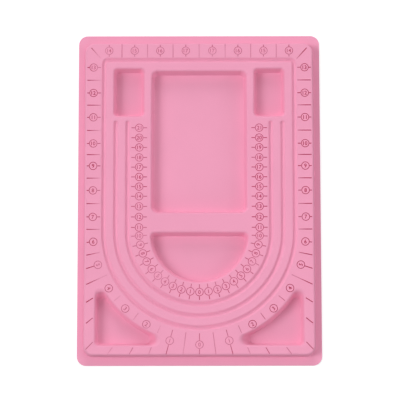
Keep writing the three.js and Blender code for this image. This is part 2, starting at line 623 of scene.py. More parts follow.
    def corner_outline(self, inset: float, side: Side) -> Outline:
        """Gives a three-sided corner tray: two straight sides, and one that follows the bend.

        Args:
            inset: Distance into the tray.
            side: Which of the two.

        Returns:
            The outline.
        """
        corner = self.corner_tray_radius - self.tray_corner_taper * inset
        tip = self.corner_tip_radius - self.tray_corner_taper * inset
        edge = self.table_half_width - self.corner_side_margin - inset
        end = self.table_half_length - self.corner_end_margin - inset
        bend = self.channel_radius + self.corner_band + inset
        far_x = edge - tip
        far_y = self.bend_y - math.sqrt((bend + tip) ** 2 - far_x**2)
        near_y = tip - end
        near_x = math.sqrt((bend + tip) ** 2 - (near_y - self.bend_y) ** 2)
        far_angle = math.atan2(far_y - self.bend_y, far_x)
        near_angle = math.atan2(near_y - self.bend_y, near_x)
        outline = [
            *arc(edge - corner, corner - end, corner, -QUARTER, 0, FINE.corner),
            *arc(far_x, far_y, tip, 0, far_angle + math.pi, FINE.tip),
            *arc(0, self.bend_y, bend, far_angle, near_angle, FINE.tray_arc, hollow=True)[1:-1],
            *arc(near_x, near_y, tip, near_angle + math.pi, 3 * QUARTER, FINE.tip),
        ]
        return on_side(outline, side)

    def closed_channel_outline(self, offset: float) -> Outline:
        """Gives a line along the outer channel, which runs all the way round.

        Args:
            offset: Distance outwards from the channel's middle line.

        Returns:
            The outline.
        """
        side = self.channel_radius + offset
        corner = self.channel_corner_radius + offset
        far = self.channel_far_end + offset - corner
        return [
            *arc(0, self.bend_y, side, -math.pi, 0, FINE.bend),
            *arc(side - corner, far, corner, 0, QUARTER, FINE.corner),
            *arc(corner - side, far, corner, QUARTER, math.pi, FINE.corner),
        ]

    def channel_side(self, radius: float, hollow: bool = False) -> Outline:
        """Gives one side of an open channel: down the left leg, round the bend and up the right leg.

        Args:
            radius: Radius of its bend.
            hollow: True where the channel lies outside that radius.

        Returns:
            The points.
        """
        facing = -1.0 if hollow else 1.0
        left = PlanPoint(-radius, self.channel_top, -facing, 0.0)
        right = PlanPoint(radius, self.channel_top, facing, 0.0)
        return [left, *arc(0, self.bend_y, radius, -math.pi, 0, FINE.bend, hollow), right]

    def open_channel_outline(self, radius: float, offset: float) -> Outline:
        """Gives an outline all round an open channel.

        Args:
            radius: Radius of the bend of its middle line.
            offset: Distance from its middle line.

        Returns:
            The outline.
        """
        return [
            *self.channel_side(radius + offset),
            *arc(radius, self.channel_top, offset, 0, math.pi, FINE.cap)[1:-1],
            *reversed(self.channel_side(radius - offset, hollow=True)),
            *arc(-radius, self.channel_top, offset, 0, math.pi, FINE.cap)[1:-1],
        ]

    def past_flat(self, x: float, y: float) -> float:
        """Measures how far a point lies past the edge of the table's flat.

        Args:
            x: The point.
            y: The point.

        Returns:
            The distance, less than nothing on the flat.
        """
        radius = self.table_corner_radius
        over_x = abs(x) - self.table_half_width + radius
        over_y = abs(y) - self.table_half_length + radius
        return math.hypot(max(over_x, 0.0), max(over_y, 0.0)) + min(max(over_x, over_y), 0.0) - radius

    def inkable(self, x: float, y: float, over_lip: float) -> bool:
        """Says whether ink can lie at a point.

        Args:
            x: The point.
            y: The point.
            over_lip: How far ink may reach over the lip at the far and near ends.

        Returns:
            True on the table's flat and on its lip at the ends, clear of the corner trays.
        """
        if abs(x) > self.table_half_width or self.past_flat(x, y) > over_lip:
            return False
        return not any(holds(self.corner_outline(0.0, side), x, y) for side in Side)

    def table_height(self, x: float, y: float) -> float:
        """Gives the height of the table's face.

        Args:
            x: A point on its flat or its lip.
            y: The point.

        Returns:
            The height there.
        """
        drop = max(0.0, self.past_flat(x, y))
        lip = self.table_wall.lip_radius
        return self.height - lip + math.sqrt(lip**2 - drop**2)


class Skin:
    """A surface of rings joined by flats and bands, with the true normal at every point."""

    INSIDE_WITH_HOLES = 2
    NEARNESS = 1e-4

    def __init__(self) -> None:
        """Starts an empty surface."""
        self.points: list[Vector] = []
        self.normals: list[Vector] = []
        self.faces: list[tuple[int, ...]] = []

    def ring(self, outline: Outline, height: float, lean: float, facing: int) -> list[int]:
        """Adds an outline at a height.

        Args:
            outline: The outline in plan.
            height: Its height.
            lean: How far the surface's normal leans from upright, in radians.
            facing: 1 where the normal leans out of the outlined area, -1 where it leans into it.

        Returns:
            The numbers of the new points.
        """
        first = len(self.points)
        across, up = facing * math.sin(lean), math.cos(lean)
        for point in outline:
            self.points.append(Vector((point.x, point.y, height)))
            self.normals.append(Vector((point.out_x * across, point.out_y * across, up)))
        return list(range(first, len(self.points)))

    def bands(self, rings: Sequence[Sequence[int]]) -> None:
        """Joins rings of equal length.

        Args:
            rings: The rings, from the outermost to the innermost.
        """
        for outer, inner in zip(rings, rings[1:]):
            for here in range(len(outer)):
                after = (here + 1) % len(outer)
                corners = dict.fromkeys((outer[here], outer[after], inner[after], inner[here]))
                if len(corners) > 2:
                    self.faces.append(tuple(corners))

    def flat(self, edge: Sequence[int], holes: Sequence[Sequence[int]] = ()) -> None:
        """Fills a level area.

        Args:
            edge: The ring round it.
            holes: The rings of the holes in it.
        """
        rings = [edge, *holes]
        corners = [number for ring in rings for number in ring]
        plan = [self.points[number].xy / MM for number in corners]
        loops = []
        start = 0
        for ring in rings:
            loops.append(list(range(start, start + len(ring))))
            start += len(ring)
        filled = geometry.delaunay_2d_cdt(plan, [], loops, self.INSIDE_WITH_HOLES, self.NEARNESS)
        _, _, triangles, sources, *_ = filled
        for triangle in triangles:
            self.faces.append(tuple(corners[sources[corner][0]] for corner in triangle))

    def take_underside(self, other: Skin) -> int:
        """Adds another surface upside down.

        Args:
            other: The surface to add.

        Returns:
            The number that its points' numbers have grown by.
        """
        shift = len(self.points)
        self.points += other.points
        self.normals += [-normal for normal in other.normals]
        self.faces += [tuple(number + shift for number in reversed(face)) for face in other.faces]
        return shift

    def to_mesh(self, name: str) -> bpy.types.Mesh:
        """Makes a smooth mesh of the surface.

        Args:
            name: The mesh's name.

        Returns:
            The mesh.
        """
        mesh = bpy.data.meshes.new(name)
        mesh.from_pydata(self.points, [], self.faces)
        mesh.shade_smooth()
        mesh.normals_split_custom_set_from_vertices(self.normals)
        return mesh


@dataclass(frozen=True)
class FormedLayer:
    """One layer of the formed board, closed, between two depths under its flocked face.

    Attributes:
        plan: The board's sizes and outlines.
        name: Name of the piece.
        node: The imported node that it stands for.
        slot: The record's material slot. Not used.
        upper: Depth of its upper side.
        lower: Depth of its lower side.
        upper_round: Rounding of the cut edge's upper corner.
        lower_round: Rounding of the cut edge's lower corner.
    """

    plan: BoardPlan
    name: str
    node: str
    slot: str
    upper: float
    lower: float
    upper_round: float
    lower_round: float

    def add_tray(self, skin: Skin, depth: float, outline: Callable[[float], Outline]) -> list[int]:
        """Adds a tray.

        Args:
            skin: The surface to add to.
            depth: Depth under the flocked face.
            outline: The tray's outline for an inset.

        Returns:
            The tray's rim.
        """
        stations = self.plan.tray_wall.stations(depth)
        rings = [skin.ring(outline(s.across), s.height, s.lean, -1) for s in stations]
        skin.bands(rings)
        skin.flat(rings[-1])
        return rings[0]

    def add_closed_channel(self, skin: Skin, depth: float) -> tuple[list[int], list[int]]:
        """Adds the channel that runs all the way round.

        Args:
            skin: The surface to add to.
            depth: Depth under the flocked face.

        Returns:
            Its outer rim and its inner rim.
        """
        half = self.plan.channel.stations(depth)
        outline = self.plan.closed_channel_outline
        rings = [skin.ring(outline(s.across), s.height, s.lean, -1) for s in half]
        rings += [skin.ring(outline(-s.across), s.height, s.lean, 1) for s in reversed(half[:-1])]
        skin.bands(rings)
        return rings[0], rings[-1]

    def add_open_channel(self, skin: Skin, depth: float, radius: float) -> list[int]:
        """Adds an open channel, whose two flanks meet along its middle line.

        Args:
            skin: The surface to add to.
            depth: Depth under the flocked face.
            radius: Radius of its bend.

        Returns:
            Its rim.
        """
        *flank, bottom = self.plan.channel.stations(depth)
        outline = self.plan.open_channel_outline
        rings = [skin.ring(outline(radius, s.across), s.height, s.lean, -1) for s in flank]
        middle = skin.ring(self.plan.channel_side(radius), bottom.height, 0.0, 1)
        cap_points = FINE.cap - 1
        rings.append([*middle, *[middle[-1]] * cap_points, *reversed(middle), *[middle[0]] * cap_points])
        skin.bands(rings)
        return rings[0]

    def face(self, depth: float, edge_inset: float) -> tuple[Skin, list[int]]:
        """Makes the board's flocked face, moved down into the board.

        Args:
            depth: Depth under the flocked face.
            edge_inset: Distance from the cut edge where the rim's flat ends.

        Returns:
            The surface and its outer edge.
        """
        plan = self.plan
        skin = Skin()
        edge = skin.ring(plan.board_outline(edge_inset), plan.rim_top - depth, 0.0, 1)
        stations = reversed(plan.table_wall.stations(depth))
        table = [skin.ring(plan.table_outline(s.across), s.height, s.lean, 1) for s in stations]
        skin.flat(edge, [table[0]])
        skin.bands(table)

        channel_rim, inner_rim = self.add_closed_channel(skin, depth)
        corners = [self.add_tray(skin, depth, partial(plan.corner_outline, side=side)) for side in Side]
        skin.flat(table[-1], [channel_rim, *corners])

        trays: list[Callable[[float], Outline]] = [plan.central_outline, plan.half_moon_outline]
        trays += [partial(plan.small_outline, side=side) for side in Side]
        holes = [self.add_tray(skin, depth, tray) for tray in trays]
        for number in range(1, plan.open_channels + 1):
            radius = plan.channel_radius - number * plan.channel_pitch
            holes.append(self.add_open_channel(skin, depth, radius))
        skin.flat(inner_rim, holes)
        return skin, edge

    def build(self) -> bpy.types.Object:
        """Makes the layer with its rounded cut edge.

        Returns:
            The new object.
        """
        skin, upper_edge = self.face(self.upper, self.upper_round)
        under, lower_edge = self.face(self.lower, self.lower_round)
        shift = skin.take_underside(under)
        low = self.plan.rim_top - self.lower + self.lower_round
        high = self.plan.rim_top - self.upper - self.upper_round
        turns = leans(QUARTER, FINE.edge)[1:]
        below = [math.pi - turn for turn in turns]
        section = [
            *rounding(-self.lower_round, low, self.lower_round, self.lower_round, below),
            *rounding(-self.upper_round, high, self.upper_round, self.upper_round, reversed(turns)),
        ]
        rings = [[number + shift for number in lower_edge]]
        rings += [skin.ring(self.plan.board_outline(-s.across), s.height, s.lean, 1) for s in section]
        skin.bands([*rings, upper_edge])
        return placed(self.name, skin.to_mesh(self.name))

    def dress(self, piece: bpy.types.Object, finish: bpy.types.Material) -> None:
        """Gives the layer its finish and its place in the frame.

        Args:
            piece: The layer's object.
            finish: Its material.
        """
        piece.data.materials.append(finish)
        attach(piece, BODY)
        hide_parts(self.node)
        LOG.info("%s: %d faces", piece.name, len(piece.data.polygons))


class Graph:
    """Adds nodes to a node tree and wires them.

    A pattern here runs from 0 to 1. A colour mix's sockets are known only by their numbers.
    """

    PATTERN_MIDDLE = 0.5
    MIX_INPUTS = (0, 6, 7)
    MIX_RESULT = 2

    def __init__(self, tree: bpy.types.NodeTree) -> None:
        """Works on a tree."""
        self.tree = tree

    def add(self, kind: str, values: dict[str, object] | None = None, **settings: object) -> bpy.types.Node:
        """Adds a node.

        Args:
            kind: The node's type.
            values: Values or sockets for its inputs, by name.
            settings: Values of the node's own properties.

        Returns:
            The node.
        """
        node = self.tree.nodes.new(kind)
        for key, value in settings.items():
            setattr(node, key, value)
        self.fill(node, values or {})
        return node

    def wire(self, source: bpy.types.NodeSocket, target: bpy.types.NodeSocket) -> None:
        """Links an output to an input."""
        self.tree.links.new(source, target)

    def feed(self, target: bpy.types.NodeSocket, value: object) -> None:
        """Gives an input a plain value, or links it to an output.

        Args:
            target: The input.
            value: A value or a socket.
        """
        if isinstance(value, bpy.types.NodeSocket):
            self.wire(value, target)
        else:
            target.default_value = value

    def fill(self, node: bpy.types.Node, values: dict[str, object]) -> None:
        """Gives some of a node's inputs plain values, or links them to outputs.

        Args:
            node: The node.
            values: Values or sockets, by the inputs' names.
        """
        for name, value in values.items():
            self.feed(node.inputs[name], value)

    def noise(self, scale: object, detail: float) -> bpy.types.NodeSocket:
        """Adds a noise pattern that is fixed to the object.

        Args:
            scale: Its frequency per metre, as a number or a socket.
            detail: Its number of finer octaves.

        Returns:
            The pattern.
        """
        place = self.add("ShaderNodeTexCoord").outputs["Object"]
        values = {"Vector": place, "Scale": scale, "Detail": detail}
        return self.add("ShaderNodeTexNoise", values).outputs["Fac"]

    def math(self, operation: str, first: object, second: object) -> bpy.types.NodeSocket:
        """Adds a sum of two numbers.

        Args:
            operation: Blender's name for the sum.
            first: A number or a socket.
            second: A number or a socket.

        Returns:
            The result.
        """
        node = self.add("ShaderNodeMath", operation=operation)
        for slot, value in enumerate((first, second)):
            self.feed(node.inputs[slot], value)
        return node.outputs[0]

    def swing(self, pattern: bpy.types.NodeSocket, amount: bpy.types.NodeSocket) -> bpy.types.NodeSocket:
        """Turns a pattern into a swing about nothing, times an amount."""
        return self.math("MULTIPLY", self.math("SUBTRACT", pattern, self.PATTERN_MIDDLE), amount)

    def mix(self, amount: object, first: object, second: object) -> bpy.types.NodeSocket:
        """Adds a mix of two colours.

        Args:
            amount: Share of the second colour, as a number or a socket.
            first: A colour or a socket.
            second: A colour or a socket.

        Returns:
            The mixed colour.
        """
        node = self.add("ShaderNodeMix", data_type="RGBA")
        for slot, value in zip(self.MIX_INPUTS, (amount, first, second)):
            self.feed(node.inputs[slot], value)
        return node.outputs[self.MIX_RESULT]


FLOAT = "NodeSocketFloat"
TINT = "NodeSocketColor"
GEOMETRY = "NodeSocketGeometry"
MATERIAL = "NodeSocketMaterial"

GroupParts = tuple[Graph, bpy.types.Node, bpy.types.Node]


def node_group(name: str, kind: str, inputs: dict[str, str], outputs: dict[str, str]) -> GroupParts:
    """Starts a node group.

    Args:
        name: Its name.
        kind: Its tree's type.
        inputs: Names and socket types of its inputs.
        outputs: Names and socket types of its outputs.

    Returns:
        Its graph, its input node and its output node.
    """
    tree = bpy.data.node_groups.new(name, kind)
    for way, sockets in (("INPUT", inputs), ("OUTPUT", outputs)):
        for label, socket in sockets.items():
            tree.interface.new_socket(label, in_out=way, socket_type=socket)
    graph = Graph(tree)
    return graph, graph.add("NodeGroupInput"), graph.add("NodeGroupOutput")


class Effects:
    """Shader node groups that the finishes share, with the finer octaves of their patterns."""

    KIND = "ShaderNodeTree"
    NAP_DETAIL = 2.0
    FIBRE_DETAIL = 3.0
    BLOTCH_DETAIL = 3.0
    PRINT_DETAIL = 2.0
    BLOTCH_RANGE = {"From Min": 0.3, "From Max": 0.7}

    def __init__(self) -> None:
        """Builds each group once."""
        self.pile_grain = self.make_pile_grain()
        self.blotches = self.make_blotches()
        self.worn_print = self.make_worn_print()

    def make_pile_grain(self) -> bpy.types.NodeTree:
        """Makes the flock's grain: broad patches where the nap leans, and fine fibre tips.

        Returns:
            The group.
        """
        amounts = ("Nap Scale", "Nap Amount", "Fibre Scale", "Fibre Amount")
        inputs = {"Color": TINT, **dict.fromkeys(amounts, FLOAT)}
        graph, given, out = node_group("pile_grain", self.KIND, inputs, {"Color": TINT, "Height": FLOAT})
        nap = graph.noise(given.outputs["Nap Scale"], self.NAP_DETAIL)
        fibre = graph.noise(given.outputs["Fibre Scale"], self.FIBRE_DETAIL)
        shade = []
        for pattern, amount in ((nap, "Nap Amount"), (fibre, "Fibre Amount")):
            shade.append(graph.math("ADD", graph.swing(pattern, given.outputs[amount]), 1.0))
        values = {"Vector": given.outputs["Color"], "Scale": graph.math("MULTIPLY", *shade)}
        scaled = graph.add("ShaderNodeVectorMath", values, operation="SCALE")
        graph.fill(out, {"Color": scaled.outputs["Vector"], "Height": fibre})
        return graph.tree

    def make_blotches(self) -> bpy.types.NodeTree:
        """Makes broad soft patches between two values.

        Returns:
            The group.
        """
        inputs = {"Scale": FLOAT, "Low": FLOAT, "High": FLOAT}
        graph, given, out = node_group("blotches", self.KIND, inputs, {"Value": FLOAT})
        pattern = graph.noise(given.outputs["Scale"], self.BLOTCH_DETAIL)
        ends = {"To Min": given.outputs["Low"], "To Max": given.outputs["High"]}
        spread = graph.add("ShaderNodeMapRange", {"Value": pattern, **self.BLOTCH_RANGE, **ends})
        graph.fill(out, {"Value": spread.outputs["Result"]})
        return graph.tree

    def make_worn_print(self) -> bpy.types.NodeTree:
        """Makes the mask of ink that has taken on the fibre tips.

        Returns:
            The group.
        """
        inputs = {"Load": FLOAT, "Grain Scale": FLOAT, "Raggedness": FLOAT}
        graph, given, out = node_group("worn_print", self.KIND, inputs, {"Mask": FLOAT})
        grain = graph.noise(given.outputs["Grain Scale"], self.PRINT_DETAIL)
        ragged = graph.swing(grain, given.outputs["Raggedness"])
        cover = graph.add("ShaderNodeClamp", {"Value": graph.math("ADD", given.outputs["Load"], ragged)})
        graph.fill(out, {"Mask": cover.outputs["Result"]})
        return graph.tree

    def patches(self, graph: Graph, scale: float, low: float, high: float) -> bpy.types.NodeSocket:
        """Places broad soft patches between two values in a material."""
        values = {"Scale": scale, "Low": low, "High": high}
        return graph.add("ShaderNodeGroup", values, node_tree=self.blotches).outputs["Value"]


def new_material(name: str) -> tuple[bpy.types.Material, Graph, bpy.types.Node]:
    """Starts a material.

    Args:
        name: Its name.

    Returns:
        The material, its graph and its Principled BSDF.
    """
    material = bpy.data.materials.new(name)
    material.use_nodes = True
    return material, Graph(material.node_tree), material.node_tree.nodes["Principled BSDF"]


@dataclass(frozen=True)
class FlockFinish:
    """Short upright flock: velvety, with a soft sheen and a fine grain."""

    colour: Colour = paint(237, 159, 188)
    sheen_tint: Colour = paint(255, 214, 228)
    sheen: float = 0.05
    sheen_roughness: float = 0.5
    specular: float = 0.1
    smoothest: float = 0.86
    roughest: float = 1.0
    nap_scale: float = 28.0
    nap_amount: float = 0.06
    fibre_scale: float = 2600.0
    fibre_amount: float = 0.16
    fibre_height: float = 0.12 * MM
    fibre_relief: float = 0.6

    def grain(self, graph: Graph, effects: Effects) -> bpy.types.Node:
        """Places the flock's grain in a material.

        Args:
            graph: The material's graph.
            effects: The shared node groups.

        Returns:
            The grain's node.
        """
        values = {
            "Color": self.colour,
            "Nap Scale": self.nap_scale,
            "Nap Amount": self.nap_amount,
            "Fibre Scale": self.fibre_scale,
            "Fibre Amount": self.fibre_amount,
        }
        return graph.add("ShaderNodeGroup", values, node_tree=effects.pile_grain)

    def bump(self, graph: Graph, height: bpy.types.NodeSocket) -> bpy.types.NodeSocket:
        """Turns the grain's height into a normal."""
        values = {"Strength": self.fibre_relief, "Distance": self.fibre_height, "Height": height}
        return graph.add("ShaderNodeBump", values).outputs["Normal"]

    def material(self, effects: Effects) -> bpy.types.Material:
        """Makes the material.

        Args:
            effects: The shared node groups.

        Returns:
            The material.
        """
        made, graph, shader = new_material("pink_flock")
        grain = self.grain(graph, effects)
        surface = {
            "Base Color": grain.outputs["Color"],
            "Roughness": effects.patches(graph, self.nap_scale, self.smoothest, self.roughest),
            "Normal": self.bump(graph, grain.outputs["Height"]),
            "Specular IOR Level": self.specular,
            "Sheen Weight": self.sheen,
            "Sheen Roughness": self.sheen_roughness,
            "Sheen Tint": self.sheen_tint,
        }
        graph.fill(shader, surface)
        return made


@dataclass(frozen=True)
class SheetFinish:
    """The bare formed sheet: satin plastic, a little uneven from the mould."""

    colour: Colour = paint(232, 147, 177)
    pale: Colour = paint(240, 168, 194)
    palest: float = 0.5
    specular: float = 0.45
    smoothest: float = 0.36
    roughest: float = 0.52
    mould_scale: float = 90.0
    peel_scale: float = 900.0
    peel_detail: float = 2.0
    peel_height: float = 0.02 * MM
    peel_relief: float = 0.5

    def material(self, effects: Effects) -> bpy.types.Material:
        """Makes the material.

        Args:
            effects: The shared node groups.

        Returns:
            The material.
        """
        made, graph, shader = new_material("pink_sheet")
        stretch = effects.patches(graph, self.mould_scale, 0.0, self.palest)
        peel = graph.noise(self.peel_scale, self.peel_detail)
        relief = {"Strength": self.peel_relief, "Distance": self.peel_height, "Height": peel}
        surface = {
            "Base Color": graph.mix(stretch, self.colour, self.pale),
            "Roughness": effects.patches(graph, 2 * self.mould_scale, self.smoothest, self.roughest),
            "Normal": graph.add("ShaderNodeBump", relief).outputs["Normal"],
            "Specular IOR Level": self.specular,
        }
        graph.fill(shader, surface)
        return made


@dataclass(frozen=True)
class InkFinish:
    """Thin ink pressed into the flock, which shows through where the ink is worn."""

    name: str
    colour: Colour
    roughness: float = 0.9
    grain_scale: float = 1500.0
    raggedness: float = 0.7

    def material(self, effects: Effects, flock: FlockFinish) -> bpy.types.Material:
        """Makes the material.

        Args:
            effects: The shared node groups.
            flock: The flock that the ink lies on.

        Returns:
            The material.
        """
        made, graph, shader = new_material(self.name)
        grain = flock.grain(graph, effects)
        load = graph.add("ShaderNodeAttribute", attribute_name=PrintWear.ATTRIBUTE).outputs["Fac"]
        values = {"Load": load, "Grain Scale": self.grain_scale, "Raggedness": self.raggedness}
        worn = graph.add("ShaderNodeGroup", values, node_tree=effects.worn_print)
        surface = {
            "Base Color": graph.mix(worn.outputs["Mask"], grain.outputs["Color"], self.colour),
            "Roughness": self.roughness,
            "Normal": flock.bump(graph, grain.outputs["Height"]),
            "Specular IOR Level": flock.specular,
        }
        graph.fill(shader, surface)
        return made


@dataclass(frozen=True)
class Mark:
    """One mark of a scale.

    Attributes:
        x: Middle of the mark.
        y: Middle of the mark.
        run: Direction of its line, out towards the board's edge, in radians.
        inner: How far the line reaches inwards from the middle.
        outer: How far the line reaches outwards from the middle.
        number: Its number, or None for a line with no ring.
        turn: How far the number is turned, in radians.
    """

    x: float
    y: float
    run: float
    inner: float
    outer: float
    number: int | None = None
    turn: float = 0.0


def bend_mark(plan: BoardPlan, side: Side, angle: float, radius: float, **rest: float) -> Mark:
    """Makes a mark on a bend.

    Args:
        plan: The board's sizes and outlines.
        side: Which half of the bend.
        angle: Angle from the bend's near end, in radians.
        radius: Distance from the bend's middle.
        rest: The mark's other values, by name.

    Returns:
        The mark, with its line running out of the bend.
    """
    x = side.value * radius * math.sin(angle)
    return Mark(x, plan.bend_y - radius * math.cos(angle), outward(side, angle), **rest)


@dataclass(frozen=True)
class InkCoat:
    """How much ink one kind of mark was given.

    Attributes:
        base: Ink in the middle of the outer band, and everywhere where there is no edge gain.
        edge_gain: Ink added from there to the table's edge, and taken off inwards.
        inmost: Where that change starts, from -1 at the band's inner side to 1 at the edge.
    """

    base: float
    edge_gain: float = 0.0
    inmost: float = -0.6


@dataclass(frozen=True)
class PrintWear:
    """How much ink a scale has kept from place to place.

    Attributes:
        plan: The board's sizes and outlines.
        ticks: The ink of the ticks beside the rings.
        rings: The rings' and numbers' ink.
        right_gain: Ink added from the middle to the right side, and taken off to the left side.
        near_line: Y short of which the ink is fainter.
        near_loss: Ink lost there.
        far_loss: Ink lost along the far end, but not in its corners.
        lines: The ink of the lines between the numbers, or None where the scale has no such lines.
        patchiness: Swing of the ink from patch to patch.
        patch_scale: Patches per metre.
    """

    plan: BoardPlan
    ticks: InkCoat
    rings: InkCoat
    right_gain: float
    near_line: float
    near_loss: float
    far_loss: float = 0.0
    lines: InkCoat | None = None
    patchiness: float = 0.3
    patch_scale: float = 45.0

    ATTRIBUTE = "ink_load"

    def load(self, x: float, y: float, coat: InkCoat) -> float:
        """Works out the ink at a place.

        Args:
            x: The place.
            y: The place.
            coat: The ink that was laid.

        Returns:
            The share of ink kept.
        """
        across = 1 + 2 * self.plan.past_flat(x, y) / self.plan.scale_band
        kept = coat.base + self.right_gain * x / self.plan.table_half_width
        if y > self.plan.channel_far_end and abs(x) < self.plan.channel_radius:
            kept -= self.far_loss
        elif y < self.near_line:
            kept -= self.near_loss
        else:
            kept += coat.edge_gain * max(coat.inmost, min(1.0, across))
        return kept + self.patchiness * noise.noise(Vector((x, y, 0.0)) * self.patch_scale)

    def stain(self, mesh: bpy.types.Mesh, coat: InkCoat) -> None:
        """Stores the ink at each point of a mesh.

        Args:
            mesh: The mesh.
            coat: The ink that was laid.
        """
        layer = mesh.attributes.new(self.ATTRIBUTE, "FLOAT", "POINT")
        for vertex, value in zip(mesh.vertices, layer.data):
            value.value = self.load(vertex.co.x, vertex.co.y, coat)


@dataclass(frozen=True)
class OuterScale:
    """The inch scale on the band outside the channels: up both sides, round the bend and along the far end.

    Attributes:
        plan: The board's sizes and outlines.
        ring_radius: Radius of the numbers' rings.
        side_gap: From the table's edge to the side numbers.
        far_gap: From the table's edge to the far numbers.
        bend_gap: From the outer channel's middle line to the numbers round the bend.
        near_gap: The same between the corner trays, where the band is wider.
        line_gap: From the outer channel's rim to the lines round the bend.
        bend_angles: Angles of the numbers round the bend, from the near end, in degrees.
        near_numbers: How many of them stand between the corner trays.
        near_row: Y short of which the marks belong to the near end.
        side_places: Y of the numbers up the sides.
        far_first: X of the last number of the far end.
        far_pitch: Distance between the far numbers.
        far_numbers: Numbers on each half of the far end.
        far_tick: Length of the ticks on the far rings.
        rim_overlap: How far the lines along the far end start inside the outer channel's rim.
        corner_start: Where the lines across the far corners start, in from the two rims.
        corner_slope: How steep those lines are, in degrees.
        corner_line: Their length.
    """

    plan: BoardPlan
    ring_radius: float = 3.75 * MM
    side_gap: float = 6.3 * MM
    far_gap: float = 5.7 * MM
    bend_gap: float = 10.3 * MM
    near_gap: float = 16.5 * MM
    line_gap: float = 2.2 * MM
    bend_angles: tuple[float, ...] = (0, 15.2, 29.7, 43.9, 58.0, 72.0, 84.8)
    near_numbers: int = 2
    near_row: float = -128 * MM
    side_places: tuple[float, ...] = tuple(y * MM for y in (-19.3, 7.1, 31.6, 54.1, 80.4, 105.0, 130.8))
    far_first: float = 13.2 * MM
    far_pitch: float = 25.4 * MM
    far_numbers: int = 4
    far_tick: float = 2.2 * MM
    rim_overlap: float = 0.6 * MM
    corner_start: tuple[float, float] = (0.4 * MM, 1.9 * MM)
    corner_slope: float = 48.0
    corner_line: float = 15.2 * MM

    @cached_property
    def rim(self) -> float:
        """Distance of the outer channel's outer rim from its middle."""
        return self.plan.channel_radius + self.plan.channel.half_width

    def side_marks(self, side: Side) -> list[Mark]:
        """The numbers and lines up one side.

        Args:
            side: Which side.

        Returns:
            The marks.
        """
        edge = self.plan.table_half_width
        x = edge - self.side_gap
        line = {"x": side.value * x, "run": outward(side, QUARTER), "inner": x - self.rim, "outer": edge - x}
        bend_end = self.plan.bend_y - x * math.cos(math.radians(self.bend_angles[-1]))
        lows = (bend_end, *self.side_places)
        numbered = enumerate(self.side_places, len(self.bend_angles))
        marks = [Mark(y=y, number=number, **line) for number, y in numbered]
        return marks + [Mark(y=(low + high) / 2, **line) for low, high in zip(lows, self.side_places)]

    def bend_marks(self, side: Side) -> list[Mark]:
        """The numbers and lines round one half of the bend.

        Args:
            side: Which half.

        Returns:
            The marks. Their lines run out past the table's edge, and are cut there later.
        """
        start = self.rim + self.line_gap
        past_edge = self.plan.length / 2
        marks = []
        for number, angle in enumerate(self.bend_angles):
            if number == 0 and side is Side.LEFT:
                continue
            gap = self.near_gap if number < self.near_numbers else self.bend_gap
            radius = self.plan.channel_radius + gap
            angle = math.radians(angle)
            upright = number == len(self.bend_angles) - 1
            rest = {"inner": radius - start, "number": number, "turn": 0.0 if upright else side.value * angle}
            marks.append(bend_mark(self.plan, side, angle, radius, outer=past_edge, **rest))
        for low, high in zip(self.bend_angles, self.bend_angles[1:]):
            angle = math.radians((low + high) / 2)
            marks.append(bend_mark(self.plan, side, angle, start, inner=0.0, outer=past_edge))
        return marks

    def far_marks(self) -> list[Mark]:
        """The numbers and lines along the far end, and the two lines across its corners.

        Returns:
            The marks.
        """
        edge = self.plan.table_half_length
        y = edge - self.far_gap
        rim = self.plan.channel_far_end + self.plan.channel.half_width
        last = len(self.bend_angles) + len(self.side_places) + self.far_numbers - 1
        tick = self.ring_radius + self.far_tick
        start = y - rim + self.rim_overlap
        past_edge = 2 * self.far_gap
        marks = [Mark(0.0, y, QUARTER, start, past_edge)]
        for side in Side:
            for place in range(self.far_numbers):
                x = side.value * (self.far_first + place * self.far_pitch)
                marks.append(Mark(x, y, QUARTER, tick, tick, last - place))
                if place:
                    marks.append(Mark(x - side.value * self.far_pitch / 2, y, QUARTER, start, past_edge))
            slope = math.radians(self.corner_slope)
            run = slope if side is Side.RIGHT else math.pi - slope
            x = side.value * (self.rim - self.corner_start[0])
            marks.append(Mark(x, rim - self.corner_start[1], run, 0.0, self.corner_line))
        return marks

    def marks(self) -> list[Mark]:
        """Gives all the scale's marks.

        Returns:
            The marks.
        """
        found = self.far_marks()
        for side in Side:
            found += self.side_marks(side) + self.bend_marks(side)
        return found


@dataclass(frozen=True)
class InnerScale:
    """The centimetre scale inside the channels: round the bend and up both legs.

    Attributes:
        plan: The board's sizes and outlines.
        ring_radius: Radius of the numbers' rings.
        gap: From the innermost channel's inner rim to the numbers.
        bend_pitch: Angle between the numbers round the bend, in degrees.
        bend_last: The last number on the bend.
        turned_last: The last number that is turned to face the bend's middle.
        leg_places: Y of the numbers up the legs.
        reach: How far a line reaches from the middle of its number, both ways.
    """

    plan: BoardPlan
    ring_radius: float = 3.75 * MM
    gap: float = 8.4 * MM
    bend_pitch: float = 8.65
    bend_last: int = 10
    turned_last: int = 9
    leg_places: tuple[float, ...] = tuple(
        y * MM for y in (-29.8, -19.4, -8.9, 1.2, 10.8, 20.5, 30.3, 40.0, 50.0, 59.8, 69.8)
    )
    reach: float = 7.7 * MM

    def marks(self) -> list[Mark]:
        """Gives all the scale's marks.

        Returns:
            The marks.
        """
        radius = self.plan.innermost_radius - self.plan.channel.half_width - self.gap
        line = {"inner": self.reach, "outer": self.reach}
        found = []
        for number in range(self.bend_last + 1):
            angle = math.radians(number * self.bend_pitch)
            for side in Side if number else (Side.RIGHT,):
                turn = side.value * angle if number <= self.turned_last else 0.0
                found.append(bend_mark(self.plan, side, angle, radius, number=number, turn=turn, **line))
        for number, y in enumerate(self.leg_places, self.bend_last + 1):
            for side in Side:
                found.append(Mark(side.value * radius, y, outward(side, QUARTER), number=number, **line))
        return found


